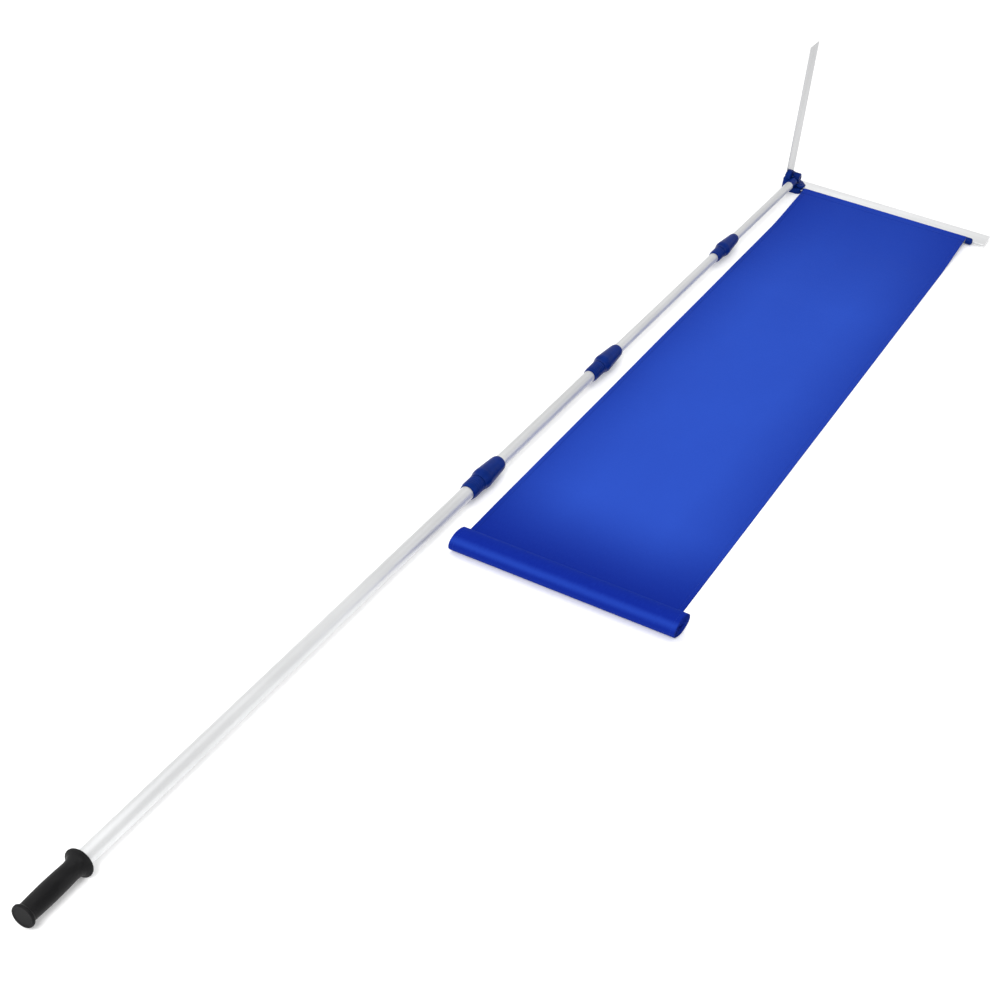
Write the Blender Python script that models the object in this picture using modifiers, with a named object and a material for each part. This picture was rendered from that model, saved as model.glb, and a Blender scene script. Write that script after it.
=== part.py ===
"""Telescoping roof snow rake with an L-shaped blade frame and a slide sheet.

Metres, +Z up.  The pole runs along +Y towards the blades, its axis above x = 0; the flat
blade runs along +X.  The origin is on the floor under the corner hub, on the pole's line.
"""
import math

import bmesh
import bpy
from mathutils import Matrix, Vector

for old in list(bpy.data.objects):
    bpy.data.objects.remove(old, do_unlink=True)

# ---------------------------------------------------------------- driving dimensions
GAP = 0.0003                       # running or assembly clearance between neighbours
AXIS_Z = 0.0312                    # height of the pole's axis over the floor

TUBE_R = [0.0178, 0.0157, 0.0141, 0.0128]      # outer radii, handle to head
TUBE_WALL = [0.0012, 0.00095, 0.00095, 0.00095]
TUBE_LEN = [1.640, 1.600, 1.600, 1.520]

GRIP_END = -3.794                  # rear face of the rubber grip
GRIP_LEN = 0.158
LOCK_START = [-2.2055, -1.5415, -0.6955]       # handle-side faces of the three twist locks
LOCK_LEN = [0.160, 0.170, 0.161]               # collar to nose
LOCK_PEAK = [0.0760, 0.0815, 0.0705]           # widest point of the turning half
LOCK_SEAT = 0.042                  # depth of the larger tube in its lock
REAR_R = [0.0200, 0.0178, 0.0164]
COLLAR_R = [0.0220, 0.0194, 0.0178]
NECK_R = [0.0185, 0.0165, 0.0150]
NUT_R = [0.0262, 0.0243, 0.0226]
NOSE_R = [0.0208, 0.0188, 0.0164]
POLE_END = -0.0670                 # head end of the last tube

CORNER = 0.0325                    # outer corner of the hub, left of the pole's axis
SLOT_X, SLOT_Z = 0.0045, 0.0102    # hub's outer lips: thickness beside and under the blades
BLADE_T = 0.0020
BLADE_Y0, BLADE_Y1 = -0.032, 0.042
BLADE_FOOT = 0.0015                # end clearance of each blade in its slot
BLADE_REACH = 0.6395               # outer end of the flat blade
BLADE_TIP = 0.475                  # top of the upright blade
HUB_Y = 0.0435                     # hub half length along the pole
HUB_X1 = 0.0315
HUB_TOP = 0.0620
INNER_X = -0.0120                  # face of the vertical web on the pole's side
INNER_Z = 0.0155                   # top of the horizontal web
NECK = 0.0040                      # webs join the corner over this length
LIP_TOP = 0.0520                   # outer lip beside the upright blade, with a lower step
LIP_STEP_Z, LIP_STEP_Y = 0.0400, -0.0080
HUB_Y0 = -0.0350                   # near face of the vertical slot's end wall
WEB_STEP = 0.0345

ROD_R = 0.0098
ROD_Y, ROD_Z = -0.0345, 0.0115
ROD_X0, ROD_X1 = 0.0420, 0.5825
FABRIC_T = 0.0006
SHEET_W = 0.540
SHEET_X0 = 0.0420                  # left edge at the rod
SHEET_SKEW = 0.0074                # the sheet lies this many radians off the pole's line
ROLL_R = 0.0300
ROLL_Y = -2.3755
ROLL_LEFT, ROLL_RIGHT = 0.001, 0.036           # the roll's turns spread past the sheet

SEG = 32

main = bpy.data.collections.new("roof_snow_rake")
guides = bpy.data.collections.new("cutters")
for coll in (main, guides):
    bpy.context.scene.collection.children.link(coll)


# ---------------------------------------------------------------- helpers
def material(name, rgb, rough, metal=0.0):
    found = bpy.data.materials.get(name)
    if found:
        return found
    made = bpy.data.materials.new(name)
    made.use_nodes = True
    shader = made.node_tree.nodes["Principled BSDF"]
    shader.inputs["Base Color"].default_value = (*rgb, 1.0)
    shader.inputs["Roughness"].default_value = rough
    shader.inputs["Metallic"].default_value = metal
    return made


COLOURS = {
    "tube": ((0.80, 0.81, 0.82), 0.30, 1.0),
    "blade": ((0.78, 0.79, 0.80), 0.38, 1.0),
    "steel": ((0.62, 0.63, 0.64), 0.28, 1.0),
    "navy": ((0.012, 0.045, 0.220), 0.35, 0.0),
    "black": ((0.012, 0.012, 0.013), 0.50, 0.0),
    "grey": ((0.22, 0.23, 0.24), 0.45, 0.0),
    "fabric": ((0.020, 0.080, 0.560), 0.55, 0.0),
}


def finish(ob, kind, cutter=False):
    (guides if cutter else main).objects.link(ob)
    if cutter:
        ob.hide_render = True
        ob.display_type = "WIRE"
    else:
        rgb, rough, metal = COLOURS[kind]
        ob.data.materials.append(material(ob.name + "_mat", rgb, rough, metal))
    return ob


TURN = {"Y": Matrix.Rotation(-math.pi / 2, 4, "X"),
        "X": Matrix.Rotation(math.pi / 2, 4, "Y"),
        "Z": Matrix.Identity(4)}


def lathe(name, kind, profile, at, axis="Y", steps=SEG, closed=True, cutter=False):
    """Turn a profile of (radius, station) about an axis; stations run along that axis."""
    mesh = bpy.data.meshes.new(name)
    n = len(profile)
    edges = [(i, i + 1) for i in range(n - 1)] + ([(n - 1, 0)] if closed else [])
    mesh.from_pydata([(r, 0.0, s) for r, s in profile], edges, [])
    ob = bpy.data.objects.new(name, mesh)
    ob.matrix_world = Matrix.Translation(at) @ TURN[axis]
    mod = ob.modifiers.new("turn", "SCREW")
    mod.axis = "Z"
    mod.angle = 2 * math.pi
    mod.screw_offset = 0.0
    mod.steps = mod.render_steps = steps
    mod.use_merge_vertices = True
    mod.merge_threshold = 0.00001
    mod.use_smooth_shade = True
    return finish(ob, kind, cutter)


def box(name, kind, low, high, bevel=0.0, segments=2, cutter=False):
    mesh = bpy.data.meshes.new(name)
    bm = bmesh.new()
    bmesh.ops.create_cube(bm, size=1.0)
    low, high = Vector(low), Vector(high)
    mid, size = (low + high) / 2, high - low
    bmesh.ops.scale(bm, vec=size, verts=bm.verts)
    bm.to_mesh(mesh)
    bm.free()
    ob = bpy.data.objects.new(name, mesh)
    ob.location = mid
    finish(ob, kind, cutter)
    if bevel:
        mod = ob.modifiers.new("edges", "BEVEL")
        mod.width, mod.segments, mod.limit_method = bevel, segments, "NONE"
    return ob


def rod(name, kind, radius, start, length, axis, steps=24, cutter=True):
    """Plain round bar from a start point along an axis."""
    prof = [(0.0, length), (radius, length), (radius, 0.0), (0.0, 0.0)]
    return lathe(name, kind, prof, start, axis, steps, closed=False, cutter=cutter)


def boolean(ob, cutter, how="DIFFERENCE"):
    mod = ob.modifiers.new(how.lower(), "BOOLEAN")
    mod.operation, mod.solver, mod.object = how, "EXACT", cutter
    return ob


def ring(outer, inner, s0, s1, chamfer=0.0):
    """Ring section between two stations, outer side first, running down."""
    c = chamfer
    if not c:
        return [(outer, s1), (outer, s0), (inner, s0), (inner, s1)]
    return [(outer - c, s1), (outer, s1 - c), (outer, s0 + c), (outer - c, s0),
            (inner, s0), (inner, s1)]


def outline_solid(name, kind, points, half):
    """Flat outline in the XZ plane, carried half each way along Y."""
    curve = bpy.data.curves.new(name, "CURVE")
    curve.dimensions, curve.fill_mode, curve.extrude = "2D", "BOTH", half
    spline = curve.splines.new("POLY")
    spline.points.add(len(points) - 1)
    for point, (x, z) in zip(spline.points, points):
        point.co = (x, z, 0.0, 1.0)
    spline.use_cyclic_u = True
    guide = bpy.data.objects.new(name + "_outline", curve)
    bpy.context.scene.collection.objects.link(guide)
    graph = bpy.context.evaluated_depsgraph_get()
    mesh = bpy.data.meshes.new_from_object(guide.evaluated_get(graph))
    bpy.data.objects.remove(guide, do_unlink=True)
    bm = bmesh.new()
    bm.from_mesh(mesh)
    bmesh.ops.remove_doubles(bm, verts=bm.verts, dist=0.00001)
    bmesh.ops.dissolve_limit(bm, angle_limit=0.01, verts=bm.verts, edges=bm.edges)
    bm.to_mesh(mesh)
    bm.free()
    mesh.materials.clear()
    ob = bpy.data.objects.new(name, mesh)
    ob.rotation_euler = (math.pi / 2, 0.0, 0.0)
    return finish(ob, kind)


def on_axis(y):
    return Vector((0.0, y, AXIS_Z))


# ---------------------------------------------------------------- pole tubes
tube_far = [LOCK_START[i] + LOCK_SEAT for i in range(3)] + [POLE_END]
tube_near = [GRIP_END + 0.0043] + [tube_far[i] - TUBE_LEN[i] for i in (1, 2, 3)]
tubes = []
for i in range(4):
    r, length = TUBE_R[i], tube_far[i] - tube_near[i]
    tubes.append(lathe(f"tube_{i + 1}", "tube", ring(r, r - TUBE_WALL[i], 0.0, length),
                       on_axis(tube_near[i]), steps=40))

# a plug with a guide flange closes the hidden end of each sliding tube
for i in (1, 2, 3):
    bore = TUBE_R[i] - TUBE_WALL[i] - GAP
    flange = TUBE_R[i - 1] - TUBE_WALL[i - 1] - GAP
    prof = [(0.0, 0.026), (bore - 0.001, 0.026), (bore, 0.025), (bore, -GAP),
            (flange, -GAP), (flange, -0.011), (flange - 0.001, -0.012), (0.0, -0.012)]
    lathe(f"tube_plug_{i + 1}", "grey", prof, on_axis(tube_near[i]), steps=24, closed=False)

# ---------------------------------------------------------------- grip
hole = TUBE_R[0] + GAP
grip_profile = [(0.0, 0.0040), (hole, 0.0040), (hole, GRIP_LEN), (0.0285, GRIP_LEN),
                (0.0306, GRIP_LEN - 0.0012), (0.0311, GRIP_LEN - 0.0036),
                (0.0304, GRIP_LEN - 0.0062), (0.0270, GRIP_LEN - 0.0084),
                (0.0230, GRIP_LEN - 0.0120), (0.0206, GRIP_LEN - 0.0180),
                (0.0197, GRIP_LEN - 0.0280), (0.0207, 0.1000), (0.0211, 0.0720),
                (0.0206, 0.0400), (0.0198, 0.0150), (0.0204, 0.0095),
                (0.0228, 0.0070), (0.0245, 0.0055), (0.0246, 0.0020),
                (0.0235, 0.0), (0.0200, 0.0), (0.0194, 0.0008), (0.0, 0.0008)]
lathe("handle_grip", "black", grip_profile, on_axis(GRIP_END), closed=False)

# ---------------------------------------------------------------- twist locks
for i in range(3):
    big, small = TUBE_R[i] + GAP, TUBE_R[i + 1] + 0.0004
    wall = TUBE_R[i + 1] + GAP
    c, neck, nut, nose = COLLAR_R[i], NECK_R[i], NUT_R[i], NOSE_R[i]
    peak, end = LOCK_PEAK[i], LOCK_LEN[i]
    split = peak - 0.0240          # the turning half begins here
    tongue = peak + 0.0160         # end of the fixed half inside it
    jaws = end - 0.0250            # end of the collet
    at = on_axis(LOCK_START[i])
    body = [(neck, tongue), (neck, split - 0.0017), (c - 0.0006, split - 0.0017),
            (c, split - 0.0027)]
    for s in (split - 0.0135, split - 0.0255):
        body += [(c, s + 0.0012), (c - 0.0007, s + 0.0006), (c - 0.0007, s - 0.0006),
                 (c, s - 0.0012)]
    body += [(c, 0.0140), (c - 0.0006, 0.0100), (REAR_R[i], 0.0030), (REAR_R[i] - 0.0010, 0.0),
             (big, 0.0), (big, LOCK_SEAT + GAP), (small, LOCK_SEAT + GAP), (small, tongue)]
    lathe(f"lock_body_{i + 1}", "navy", body, at, steps=30)

    jaw = lathe(f"collet_{i + 1}", "grey",
                [(wall + 0.0016, jaws), (neck, tongue + 0.0006), (wall, tongue + 0.0006),
                 (wall, jaws)], at, steps=30)
    for k in range(2):
        wide, tall = (0.03, 0.0007) if k else (0.0007, 0.03)
        boolean(jaw, box(f"collet_saw_{i + 1}_{k}", "grey",
                         (-wide, LOCK_START[i] + tongue + 0.0090, AXIS_Z - tall),
                         (wide, LOCK_START[i] + jaws + 0.0100, AXIS_Z + tall), cutter=True))

    tip = wall + GAP + 0.0008
    turn = [(tip, end), ((tip + nose) / 2 + 0.0003, end - 0.0012), (nose - 0.0003, end - 0.0045),
            (nose, end - 0.0100), (nut - 0.0006, peak + 0.0070), (nut, peak + 0.0010),
            (nut - 0.0007, peak - 0.0060), (c + 0.0016, split + 0.0060),
            (c + 0.0006, split + 0.0010), (c + 0.0003, split), (neck + 0.0004, split),
            (neck + 0.0004, tongue + 0.0003), (wall + 0.0021, jaws + 0.0004),
            (wall + GAP, jaws + 0.0030), (wall + GAP, end)]
    lathe(f"lock_nut_{i + 1}", "navy", turn, at, steps=30)

# ---------------------------------------------------------------- corner hub
slot_lo, slot_hi = SLOT_Z, SLOT_Z + BLADE_T + 2 * GAP
side_lo, side_hi = SLOT_X - CORNER, SLOT_X - CORNER + BLADE_T + 2 * GAP
outline = [(-CORNER, 0.0), (HUB_X1, 0.0), (HUB_X1, INNER_Z), (INNER_X, INNER_Z),
           (INNER_X, HUB_TOP), (side_lo, HUB_TOP), (side_lo, LIP_TOP), (-CORNER, LIP_TOP)]
hub = outline_solid("hub_body", "navy", outline, HUB_Y)


def trim(name, axis, points, low, high):
    """Cut a straight-sided piece off the hub: its outline across an axis, and its reach."""
    mesh = bpy.data.meshes.new(name)
    bm = bmesh.new()
    rows = []
    for level in (low, high):
        spots = [(a, b, level) if axis == "Z" else (level, a, b) for a, b in points]
        rows.append([bm.verts.new(spot) for spot in spots])
    n = len(points)
    bm.faces.new(rows[0])
    bm.faces.new(rows[1])
    for k in range(n):
        bm.faces.new((rows[0][k], rows[0][(k + 1) % n], rows[1][(k + 1) % n], rows[1][k]))
    bmesh.ops.recalc_face_normals(bm, faces=bm.faces)
    bm.to_mesh(mesh)
    bm.free()
    boolean(hub, finish(bpy.data.objects.new(name, mesh), "navy", cutter=True))


far, near = HUB_Y + 0.002, -HUB_Y - 0.002
trim("trim_far_corner", "Z", [(HUB_X1 + 0.002, 0.0080), (0.0260, 0.0150), (0.0140, 0.0300),
                              (-0.0050, 0.0410), (-0.0080, far), (HUB_X1 + 0.002, far)],
     -0.01, 0.10)
trim("trim_near_corner", "Z", [(0.0180, near), (0.0190, -0.0430), (0.0250, -0.0402),
                               (0.0295, -0.0350), (0.0313, -0.0300), (HUB_X1 + 0.002, -0.0300),
                               (HUB_X1 + 0.002, near)], -0.01, 0.10)
trim("trim_near_side", "Z", [(-CORNER - 0.002, near), (-0.0225, near), (-0.0225, HUB_Y0),
                             (-CORNER - 0.002, HUB_Y0)], -0.01, 0.10)
boolean(hub, box("slot_upright", "navy", (side_lo, BLADE_Y0 - GAP, slot_hi + NECK),
                 (side_hi, HUB_Y + 0.01, HUB_TOP + 0.01), cutter=True))
boolean(hub, box("slot_flat", "navy", (side_hi + NECK, BLADE_Y0 - GAP, slot_lo),
                 (HUB_X1 + 0.01, HUB_Y + 0.01, slot_hi), cutter=True))
trim("trim_web_far", "X", [(-0.0130, HUB_TOP + 0.002), (-0.0110, HUB_TOP - 0.0012),
                           (0.0190, 0.0455), (far, 0.0290), (far, HUB_TOP + 0.002)],
     -CORNER - 0.01, INNER_X + 0.001)
trim("trim_web_near", "X", [(near, WEB_STEP), (HUB_Y0, WEB_STEP), (HUB_Y0, HUB_TOP - 0.0090),
                            (HUB_Y0 + 0.0030, HUB_TOP - 0.0030), (HUB_Y0 + 0.0100, HUB_TOP + 0.001),
                            (near, HUB_TOP + 0.001)], -CORNER - 0.01, INNER_X + 0.001)
boolean(hub, box("hub_lip_cut", "navy", (-CORNER - 0.01, -HUB_Y - 0.01, LIP_STEP_Z),
                 (side_lo - 0.0012, LIP_STEP_Y, HUB_TOP + 0.01), cutter=True))
mod = hub.modifiers.new("edges", "BEVEL")
mod.width, mod.segments, mod.limit_method, mod.angle_limit = 0.0009, 2, "ANGLE", 0.6

# clamp stations: upper stud along X through the upright blade, lower stud along Z
UP_Y, UP_Z = 0.0010, 0.0355
LOW_X, LOW_Y = 0.0225, -0.0170
STUD_R = 0.0030
HEAD_R = 0.0062


def stepped(name, at, axis, pocket, depth):
    """Through hole with a round pocket for the stud's head at its start."""
    hole, head = STUD_R + GAP, HEAD_R + GAP
    prof = [(0.0, depth), (hole, depth), (hole, pocket), (head, pocket), (head, -0.010),
            (0.0, -0.010)]
    return lathe(name, "navy", prof, at, axis, 24, closed=False, cutter=True)


boolean(hub, stepped("hole_upper", (-CORNER, UP_Y, UP_Z), "X", 0.0045, 0.050))
boolean(hub, stepped("hole_lower", (LOW_X, LOW_Y, 0.0), "Z", 0.0045, 0.030))

# a saddle and boss carry the pole; a spigot runs on inside the last tube
boolean(hub, box("hub_saddle", "navy", (-0.0220, -HUB_Y + 0.0006, slot_hi + 0.0010),
                 (0.0095, -0.0275, AXIS_Z), cutter=True), "UNION")
SPIGOT_R = TUBE_R[3] - TUBE_WALL[3] - 0.00035
BOSS_R = TUBE_R[3]
socket = [(0.0, 0.0845), (BOSS_R - 0.0006, 0.0845), (BOSS_R, 0.0839), (BOSS_R, 0.0456),
          (BOSS_R - 0.0003, 0.0453), (SPIGOT_R, 0.0453), (SPIGOT_R, 0.0010),
          (SPIGOT_R - 0.0010, 0.0), (0.0, 0.0)]
plug = lathe("hub_socket", "navy", socket, on_axis(-0.1120), "Y", 32, closed=False, cutter=True)
boolean(plug, rod("hole_rivet", "navy", 0.0023, (-0.02, -0.082, AXIS_Z), 0.04, "X"))
boolean(hub, plug, "UNION")
boolean(tubes[3], bpy.data.objects["hole_rivet"])

top = TUBE_R[3] + 0.0018
rivet = [(0.0, top), (0.0018, top - 0.0002), (0.0034, top - 0.0010), (0.0036, top - 0.0015),
         (0.0020, top - 0.0015), (0.0020, 0.0015 - top), (0.0036, 0.0015 - top),
         (0.0034, 0.0010 - top), (0.0018, 0.0002 - top), (0.0, -top)]
lathe("pole_rivet", "steel", rivet, on_axis(-0.082), "X", 20, closed=False)


def clamp(tag, at, axis, head_at, wall_at, knob_r, knob_len):
    """Stud with a round head, washer and fluted knob, stacked along one axis."""
    end = wall_at + 0.0018 + knob_len
    stud = [(0.0, end - 0.0034), (STUD_R - 0.0006, end - 0.0034), (STUD_R, end - 0.0040),
            (STUD_R, head_at + 0.0030), (HEAD_R, head_at + 0.0030),
            (HEAD_R, head_at + 0.0010), (HEAD_R - 0.0012, head_at), (0.0, head_at)]
    lathe(f"clamp_stud_{tag}", "steel", stud, at, axis, 24, closed=False)
    lathe(f"clamp_washer_{tag}", "steel",
          ring(0.0085, STUD_R + GAP, wall_at + GAP, wall_at + GAP + 0.0010), at, axis, 24)
    k0 = wall_at + 0.0016
    k1 = k0 + knob_len
    knob = [(0.0, k1), (knob_r * 0.62, k1), (knob_r * 0.90, k1 - 0.0008), (knob_r, k1 - 0.0030),
            (knob_r, k0 + 0.0012), (knob_r - 0.0012, k0), (STUD_R + GAP, k0),
            (STUD_R + GAP, k1 - 0.0028), (0.0, k1 - 0.0028)]
    ob = lathe(f"clamp_knob_{tag}", "navy", knob, at, axis, 32, closed=False)
    frame = Matrix.Translation(at) @ TURN[axis]
    for k in range(8):
        a = math.pi / 8 + k * math.pi / 4
        spot = frame @ Vector(((knob_r + 0.0016) * math.cos(a), (knob_r + 0.0016) * math.sin(a),
                               k0 - 0.002))
        boolean(ob, rod(f"flute_{tag}_{k}", "navy", 0.0027, spot, knob_len + 0.004, axis, 12))
    return ob


clamp("upper", (0.0, UP_Y, UP_Z), "X", -CORNER + GAP, INNER_X, 0.0160, 0.0225)
clamp("lower", (LOW_X, LOW_Y, 0.0), "Z", GAP, INNER_Z, 0.0145, 0.0068)

# ---------------------------------------------------------------- blades
low = side_lo + GAP
upright = box("blade_upright", "blade", (low, BLADE_Y0, slot_hi + NECK + BLADE_FOOT),
              (low + BLADE_T, BLADE_Y1, BLADE_TIP))
boolean(upright, rod("blade_hole_u", "blade", STUD_R + GAP, (-0.04, UP_Y, UP_Z), 0.04, "X"))
low = SLOT_Z + GAP
flat = box("blade_flat", "blade", (side_hi + NECK + BLADE_FOOT, BLADE_Y0, low),
           (BLADE_REACH, BLADE_Y1, low + BLADE_T))
boolean(flat, rod("blade_hole_f", "blade", STUD_R + GAP, (LOW_X, LOW_Y, -0.01), 0.04, "Z"))

# ---------------------------------------------------------------- slotted hem rod and its caps
hem = lathe("hem_rod", "grey", ring(ROD_R, 0.0042, 0.0, ROD_X1 - ROD_X0),
            (ROD_X0, ROD_Y, ROD_Z), "X", 32)
boolean(hem, box("rod_slot", "grey", (ROD_X0 - 0.01, BLADE_Y0 - GAP, low - GAP),
                 (ROD_X1 + 0.01, 0.0, low + BLADE_T + GAP), cutter=True))
spigot = 0.0042 - GAP
lathe("rod_cap_outer", "navy",
      [(0.0, 0.0200), (0.0060, 0.0196), (0.0092, 0.0180), (0.0106, 0.0150), (0.0107, GAP),
       (spigot, GAP), (spigot, -0.0120), (0.0, -0.0120)], (ROD_X1, ROD_Y, ROD_Z), "X", 28,
      closed=False)
lathe("rod_cap_inner", "navy",
      [(0.0, 0.0120), (spigot, 0.0120), (spigot, -GAP), (0.0100, -GAP), (0.0100, -0.0026),
       (0.0090, -0.0034), (0.0, -0.0034)], (ROD_X0, ROD_Y, ROD_Z), "X", 28, closed=False)
for name in ("rod_cap_outer", "rod_cap_inner"):
    boolean(bpy.data.objects[name],
            box(name + "_notch", "navy", (ROD_X0 - 0.01, BLADE_Y0 - GAP, low - GAP),
                (ROD_X1 + 0.03, 0.0, low + BLADE_T + GAP), cutter=True))


# ---------------------------------------------------------------- slide sheet
def sheet_path():
    """Centre line of the cloth: along the floor, up the rod and into its slot."""
    z0 = FABRIC_T / 2 + 0.0002
    wrap = ROD_R + GAP + FABRIC_T / 2
    path = [(ROLL_Y - 0.004, z0)]
    steps = 12
    foot = ROD_Y - 0.300
    for k in range(1, 7):
        path.append((path[0][0] + (foot - path[0][0]) * k / 6, z0))
    start = math.radians(128)
    top = (ROD_Y + wrap * math.cos(start), ROD_Z + wrap * math.sin(start))
    for k in range(1, steps):
        t = k / steps
        ease = t * t * (3 - 2 * t) * 0.72 + t * t * 0.28
        path.append((foot + (top[0] - foot) * t, z0 + (top[1] - z0) * ease))
    for k in range(11):
        a = start - (start - math.radians(17)) * k / 10
        path.append((ROD_Y + wrap * math.cos(a), ROD_Z + wrap * math.sin(a)))
    return path


path = sheet_path()
mesh = bpy.data.meshes.new("slide_sheet")
mesh.from_pydata([(SHEET_X0 - SHEET_SKEW * (y - ROD_Y), y, z) for y, z in path],
                 [(k, k + 1) for k in range(len(path) - 1)], [])
sheet = finish(bpy.data.objects.new("slide_sheet", mesh), "fabric")
mod = sheet.modifiers.new("width", "SCREW")
mod.axis, mod.angle, mod.screw_offset = "X", 0.0, SHEET_W
mod.steps = mod.render_steps = 4
mod = sheet.modifiers.new("cloth", "SOLIDIFY")
mod.thickness, mod.offset, mod.use_even_offset = FABRIC_T, 0.0, True

roll_x = SHEET_X0 - SHEET_SKEW * (ROLL_Y - ROD_Y)
roll_z = ROLL_R + FABRIC_T + 0.0002 + GAP
lathe("sheet_roll", "fabric",
      [(ROLL_R - 0.0030, SHEET_W + ROLL_RIGHT), (ROLL_R, SHEET_W + ROLL_RIGHT - 0.0050),
       (ROLL_R, -ROLL_LEFT + 0.0050), (ROLL_R - 0.0030, -ROLL_LEFT), (0.0050, -ROLL_LEFT),
       (0.0050, SHEET_W + ROLL_RIGHT)], (roll_x, ROLL_Y, roll_z), "X", 40)
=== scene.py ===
"""Looks of the roof snow rake: a four-section aluminium pole with twist locks, an L-shaped
blade head on a moulded corner hub, and a blue slide sheet partly rolled up.

Metres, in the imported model's frame: the pole runs along +Y to the head, the flat blade
runs along +X, and the floor is z = 0.
"""
import math

import bmesh
import bpy
from mathutils import Matrix, Vector, noise


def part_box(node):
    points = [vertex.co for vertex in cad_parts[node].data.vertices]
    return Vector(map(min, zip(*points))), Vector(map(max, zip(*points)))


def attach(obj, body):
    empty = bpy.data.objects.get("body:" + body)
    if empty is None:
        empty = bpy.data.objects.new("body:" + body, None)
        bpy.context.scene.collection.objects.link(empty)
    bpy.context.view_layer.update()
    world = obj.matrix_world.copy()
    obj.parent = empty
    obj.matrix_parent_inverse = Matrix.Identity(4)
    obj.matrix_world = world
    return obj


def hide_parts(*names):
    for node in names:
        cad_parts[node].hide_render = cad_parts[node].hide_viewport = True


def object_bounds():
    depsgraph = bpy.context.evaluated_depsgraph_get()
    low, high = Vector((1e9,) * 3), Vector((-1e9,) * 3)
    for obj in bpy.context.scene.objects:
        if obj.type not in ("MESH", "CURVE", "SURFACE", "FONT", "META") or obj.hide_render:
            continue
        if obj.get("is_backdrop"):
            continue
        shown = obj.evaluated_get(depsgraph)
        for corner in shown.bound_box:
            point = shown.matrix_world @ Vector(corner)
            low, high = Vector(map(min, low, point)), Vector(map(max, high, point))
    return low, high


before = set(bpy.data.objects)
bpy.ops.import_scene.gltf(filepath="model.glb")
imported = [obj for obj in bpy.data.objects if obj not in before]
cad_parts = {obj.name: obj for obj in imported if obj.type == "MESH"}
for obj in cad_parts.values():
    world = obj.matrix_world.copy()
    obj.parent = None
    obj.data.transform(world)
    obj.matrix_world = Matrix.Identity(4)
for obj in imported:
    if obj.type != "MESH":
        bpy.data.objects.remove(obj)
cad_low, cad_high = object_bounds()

# ---------------------------------------------------------------- driving dimensions
AXIS_Z = (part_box("tube_1")[0].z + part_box("tube_1")[1].z) / 2      # the pole's axis, over x = 0
TUBE_WALL = [0.0012, 0.00095, 0.00095, 0.00095]
CLEAR = 0.0003                     # assembly clearance, as in the CAD
TUBE_PLAY = 0.0004                 # a lock's bore over the smaller tube

# The three locks.  Lengths are measured from a lock's rear end.
LOCK_PEAK = [0.0760, 0.0815, 0.0705]           # widest point of each lock's turning half
LOCK_SEAT = 0.042                  # depth of the larger tube in its lock
REAR_R = [0.0200, 0.0178, 0.0164]              # radius of the fixed half's rear end
NECK_R = [0.0185, 0.0165, 0.0150]              # radius of the fixed half inside the turning one
NOSE_R = [0.0208, 0.0188, 0.0164]              # radius of the turning half near its front
SPLIT_BACK = 0.0240                # the split between the halves, behind the peak
TONGUE = 0.0160                    # the fixed half's front end, ahead of the peak
JAWS = 0.0250                      # depth of the cone that closes the collet
RING_START, RING_PITCH = 0.0165, 0.0070        # the fine rings on the fixed half
RING_DEEP = 0.0007
RING_END = 0.0065                  # no ring starts nearer than this to the split

BLADE_CORNER = 0.0016
BLADE_EASE = 0.0003                # bevel along the blades' edges

SHEET_W = 0.540
SHEET_SKEW = 0.0074                # the sheet lies this many radians off the pole's line
CLOTH_T = 0.0006
TOP = CLOTH_T / 2                  # from the cloth's middle line to its upper side
FLOOR_GAP = 0.0002                 # the cloth's underside over the floor
TUCK, LEAVE = 17, 128              # degrees round the rod between which the cloth touches it
SLOPE = 0.300                      # the cloth comes down to the floor over this length
ROLL_TURNS = 12
ROLL_PITCH = 0.00188               # radius lost in each turn of the roll
PER_TURN = 40                      # points of the cloth's route in a turn
HEM = 0.013                        # width of the sewn side hems
HEM_IN_ROLL = 0.30                 # how far the hems are drawn into the roll
BAND = 0.030                       # depth of the sewn band below the rod
HEM_T = 0.0003                     # thickness of the second layer drawn on a hem or the band
HEM_LIFT = TOP + 0.0002            # from the cloth's middle line to that layer's
STITCH = 0.0062                    # stitch spacing
STITCH_SHARE = 0.72                # part of the spacing that the thread covers
STITCH_LIFT = TOP + 0.00040        # from the cloth's middle line to the thread on a hem
STITCH_MARGIN = 0.003              # the band's stitches stay this far from the sheet's edges
SPINDLE = ((0.18, 0.00020), (0.5, 0.00026), (0.82, 0.00020))   # place along a stitch, radius

THREAD_PITCH = 0.0011              # spacing of the cloth's woven threads
ROLL_SHADE_SPAN = (1.95, 2.30)            # lengths along the cloth over which painted shade darkens it towards the roll
FOLD_HIGHLIGHT_AT = 2.4165                   # length along the cloth of the painted highlight on a fold at the roll's front
FOLD_HIGHLIGHT_REACH = 0.015                 # the painted highlight runs out this far from the fold

FLOOR_HALF = 60.0                  # half the studio floor's side
FLOOR_MIDDLE = (0.3, -1.9)
FLOOR_DROP = 0.0003                # the floor's top under the rake
WORLD_LIGHT = 0.78
CAMERA_AT = (1.59716, -5.54588, 2.54)
CAMERA_RIGHT = Vector((0.87859, 0.46804, 0.09494))
CAMERA_UP = Vector((-0.33473, 0.46171, 0.82145))
LENS, SENSOR = 68.58, 36.0         # millimetres
WHITE = (1.0, 1.0, 1.0, 1.0)


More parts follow.
